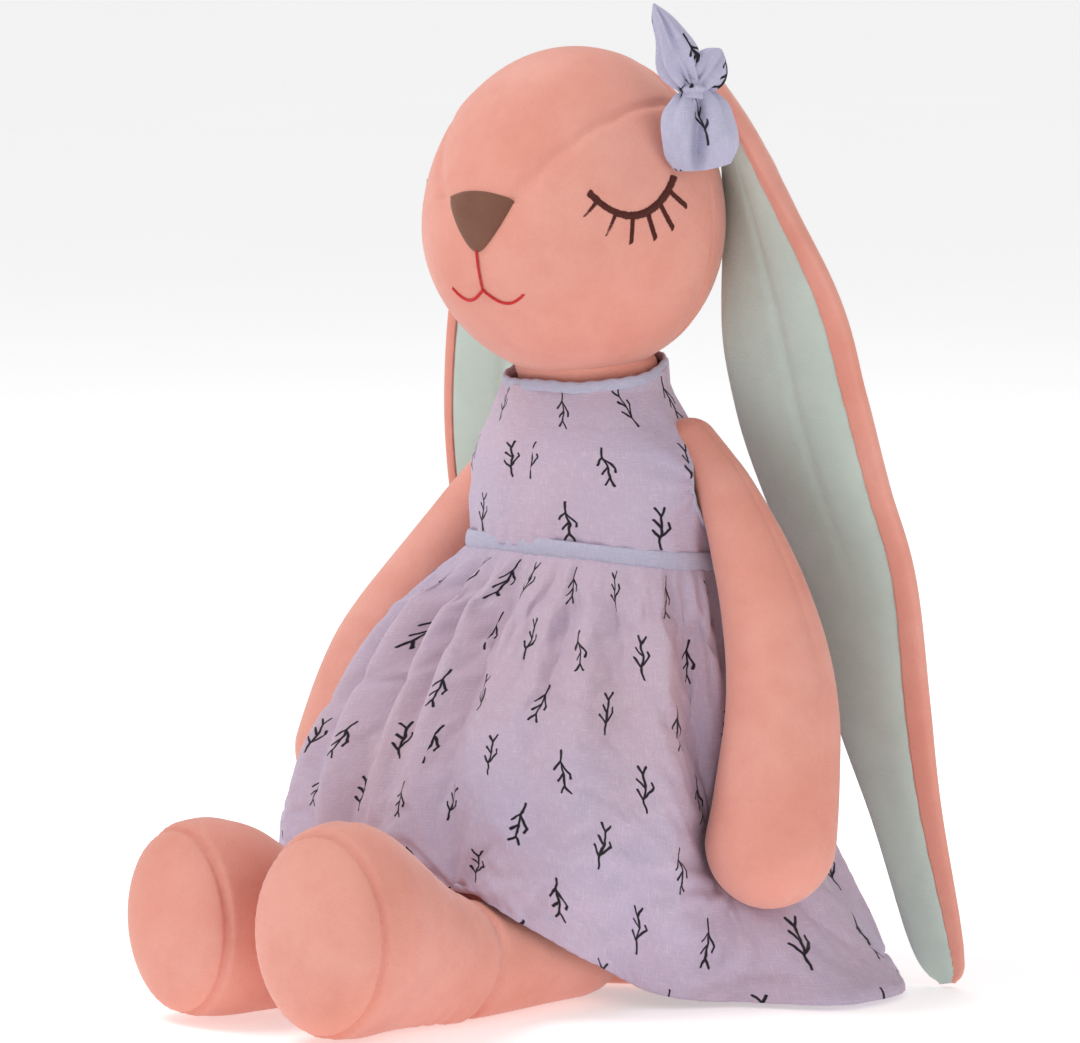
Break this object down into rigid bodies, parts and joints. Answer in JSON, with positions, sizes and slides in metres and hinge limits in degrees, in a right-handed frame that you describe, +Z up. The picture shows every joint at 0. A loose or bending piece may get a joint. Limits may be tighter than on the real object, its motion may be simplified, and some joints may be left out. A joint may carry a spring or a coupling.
{
  "type": "stuffed bunny doll",
  "caption": "Seated cloth rabbit doll with long hanging lop ears, closed embroidered eyes, a hair bow and a sleeveless gathered dress.",
  "frame": {"origin": "middle of the seat, on the surface the doll sits on", "axes": "the doll faces -Y, its own left is +X, +Z is up"},
  "size_m": [0.2271, 0.232, 0.3087],
  "materials": {
    "fibre_filling": "matte",
    "brown_thread": "matte",
    "red_thread": "matte",
    "nose_velour": "matte",
    "green_velour": "matte",
    "printed_cotton": "matte",
    "plain_cotton": "matte",
    "peach_velour": "matte"
  },
  "bodies": {
    "trunk": {"armhole_binding_left": "plain_cotton", "armhole_binding_right": "plain_cotton", "bodice_back_left": "printed_cotton", "bodice_back_right": "printed_cotton", "bodice_front": "printed_cotton", "body_back_panel": "peach_velour", "body_front_panel": "peach_velour", "body_seat_panel": "peach_velour", "body_stuffing": "fibre_filling", "neck_binding": "plain_cotton", "skirt_back": "printed_cotton", "skirt_front": "printed_cotton", "waist_band": "plain_cotton"},
    "head": {"bow_knot": "printed_cotton", "bow_lower_loop": "printed_cotton", "bow_tail": "printed_cotton", "bow_upper_loop": "printed_cotton", "head_back_panel_left": "peach_velour", "head_back_panel_right": "peach_velour", "head_face_panel": "peach_velour", "head_forehead_gusset": "peach_velour", "head_stuffing": "fibre_filling", "left_eye_stitching": "brown_thread", "mouth_stitching": "red_thread", "nose_patch": "nose_velour", "right_eye_stitching": "brown_thread"},
    "left_ear": {"ear_back_left": "peach_velour", "ear_filling_left": "fibre_filling", "ear_lining_left": "green_velour"},
    "right_ear": {"ear_back_right": "peach_velour", "ear_filling_right": "fibre_filling", "ear_lining_right": "green_velour"},
    "left_arm": {"arm_back_panel_left": "peach_velour", "arm_front_panel_left": "peach_velour", "arm_stuffing_left": "fibre_filling"},
    "right_arm": {"arm_back_panel_right": "peach_velour", "arm_front_panel_right": "peach_velour", "arm_stuffing_right": "fibre_filling"},
    "left_leg": {"foot_sole_left": "peach_velour", "leg_inner_panel_left": "peach_velour", "leg_outer_panel_left": "peach_velour", "leg_stuffing_left": "fibre_filling"},
    "right_leg": {"foot_sole_right": "peach_velour", "leg_inner_panel_right": "peach_velour", "leg_outer_panel_right": "peach_velour", "leg_stuffing_right": "fibre_filling"}
  },
  "joints": [
    {"name": "neck_nod", "type": "hinge", "parent": "trunk", "child": "head", "pos_m": [0, -0.011, 0.2], "axis": [1, 0, 0], "range_deg": [0, 12], "stiffness_Nm_per_rad": 0.12, "springref_deg": -20.05},
    {"name": "left_ear_lift", "type": "hinge", "parent": "head", "child": "left_ear", "pos_m": [0.036, 0.015, 0.284], "axis": [0, -1, 0], "range_deg": [0, 100]},
    {"name": "right_ear_lift", "type": "hinge", "parent": "head", "child": "right_ear", "pos_m": [-0.036, 0.015, 0.284], "axis": [0, 1, 0], "range_deg": [0, 100]},
    {"name": "left_arm_lift", "type": "hinge", "parent": "trunk", "child": "left_arm", "pos_m": [0.044, 0.006, 0.172], "axis": [0, -1, 0], "range_deg": [0, 90]},
    {"name": "right_arm_lift", "type": "hinge", "parent": "trunk", "child": "right_arm", "pos_m": [-0.044, 0.006, 0.172], "axis": [0, 1, 0], "range_deg": [0, 80]},
    {"name": "left_leg_drop", "type": "hinge", "parent": "trunk", "child": "left_leg", "pos_m": [0.027, -0.041, 0.018], "axis": [1, 0, 0], "range_deg": [0, 90]},
    {"name": "right_leg_drop", "type": "hinge", "parent": "trunk", "child": "right_leg", "pos_m": [-0.027, -0.041, 0.018], "axis": [1, 0, 0], "range_deg": [0, 90]}
  ]
}
